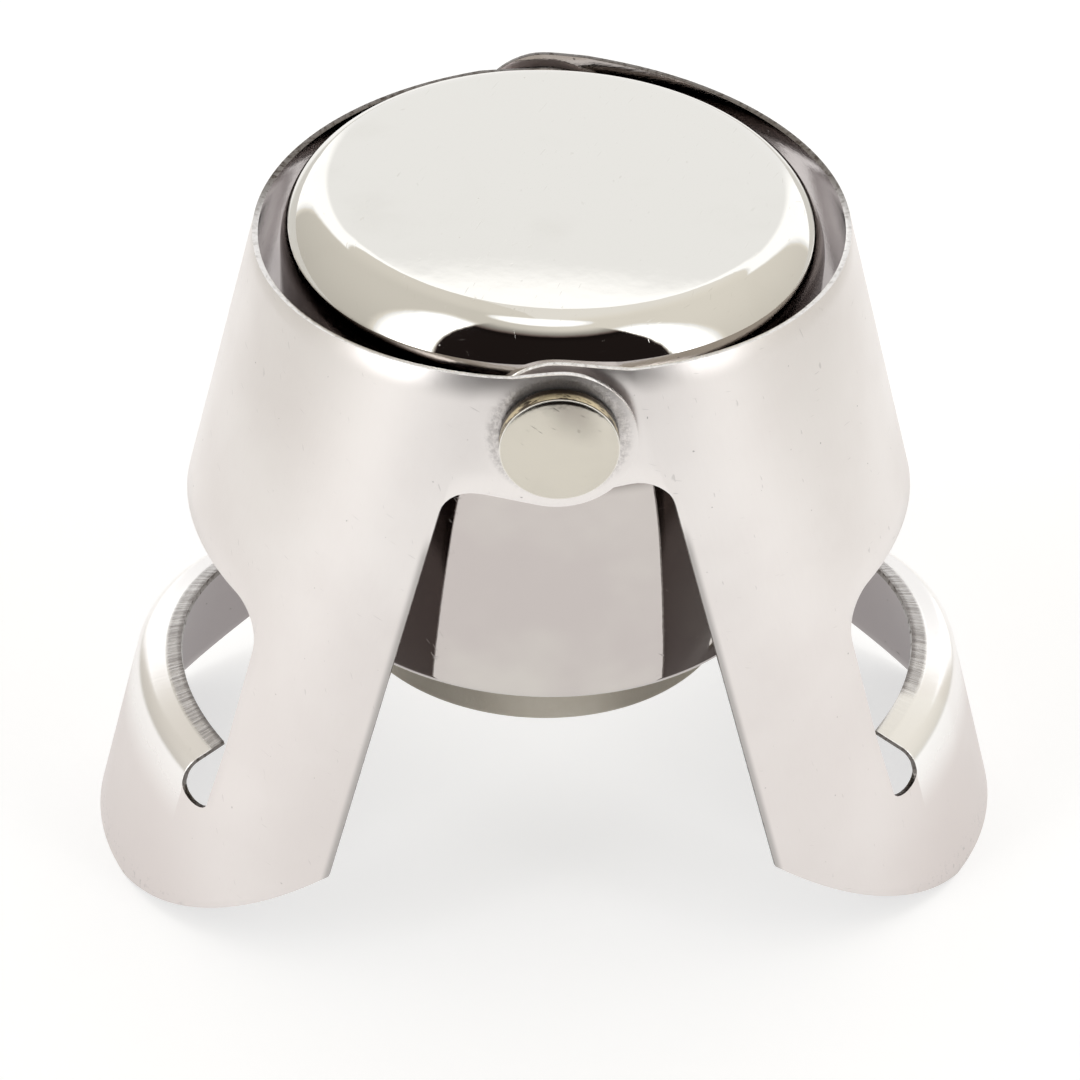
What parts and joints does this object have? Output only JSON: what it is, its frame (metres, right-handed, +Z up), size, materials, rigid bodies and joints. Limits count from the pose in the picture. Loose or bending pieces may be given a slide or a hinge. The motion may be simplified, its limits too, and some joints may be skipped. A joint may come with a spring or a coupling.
{
  "type": "champagne stopper",
  "caption": "Sparkling-wine bottle stopper: a domed metal cap with a sprung rubber seal, and two riveted sheet-metal wings whose hooked feet grip under the bottle's collar.",
  "frame": {"origin": "on the table midway between the two feet, at the centre of the bounding box's bottom", "axes": "+Z up (the cap leans 1.9 degrees from it towards +X), Y along the hinge axis through both rivets with the viewed side at -Y, X from wing to wing"},
  "size_m": [0.0666, 0.045, 0.0532],
  "materials": {
    "chrome_cap": "mirror-polished drawn metal",
    "polished_wing": "soft-polished stainless sheet",
    "nickel_rivet": "polished, slightly warm nickel",
    "inner_steel": "plain steel",
    "seal_rubber": "matte olive-grey rubber"
  },
  "bodies": {
    "cap": {"cap_shell": "chrome_cap", "front_rivet": "nickel_rivet", "back_rivet": "nickel_rivet", "front_spacer_bush": "inner_steel", "back_spacer_bush": "inner_steel", "front_backing_washer": "inner_steel", "back_backing_washer": "inner_steel", "spring": "inner_steel"},
    "left_wing": {"left_wing": "polished_wing"},
    "right_wing": {"right_wing": "polished_wing"},
    "seal": {"seal": "seal_rubber", "pressure_plate": "inner_steel"}
  },
  "joints": [
    {"name": "left_wing_hinge", "type": "hinge", "parent": "cap", "child": "left_wing", "pos_m": [0.00029, 0, 0.0463], "axis": [0, 1, 0], "range_deg": [-18, 45]},
    {"name": "right_wing_hinge", "type": "hinge", "parent": "cap", "child": "right_wing", "pos_m": [0.00029, 0, 0.0463], "axis": [0, -1, 0], "range_deg": [-18, 45]},
    {"name": "seal_slide", "type": "slide", "parent": "cap", "child": "seal", "axis": [0.0332, 0, 0.9995], "range_m": [0, 0.0088], "stiffness_N_per_m": 3000, "springref_m": -0.003, "deforming": ["spring"]}
  ]
}
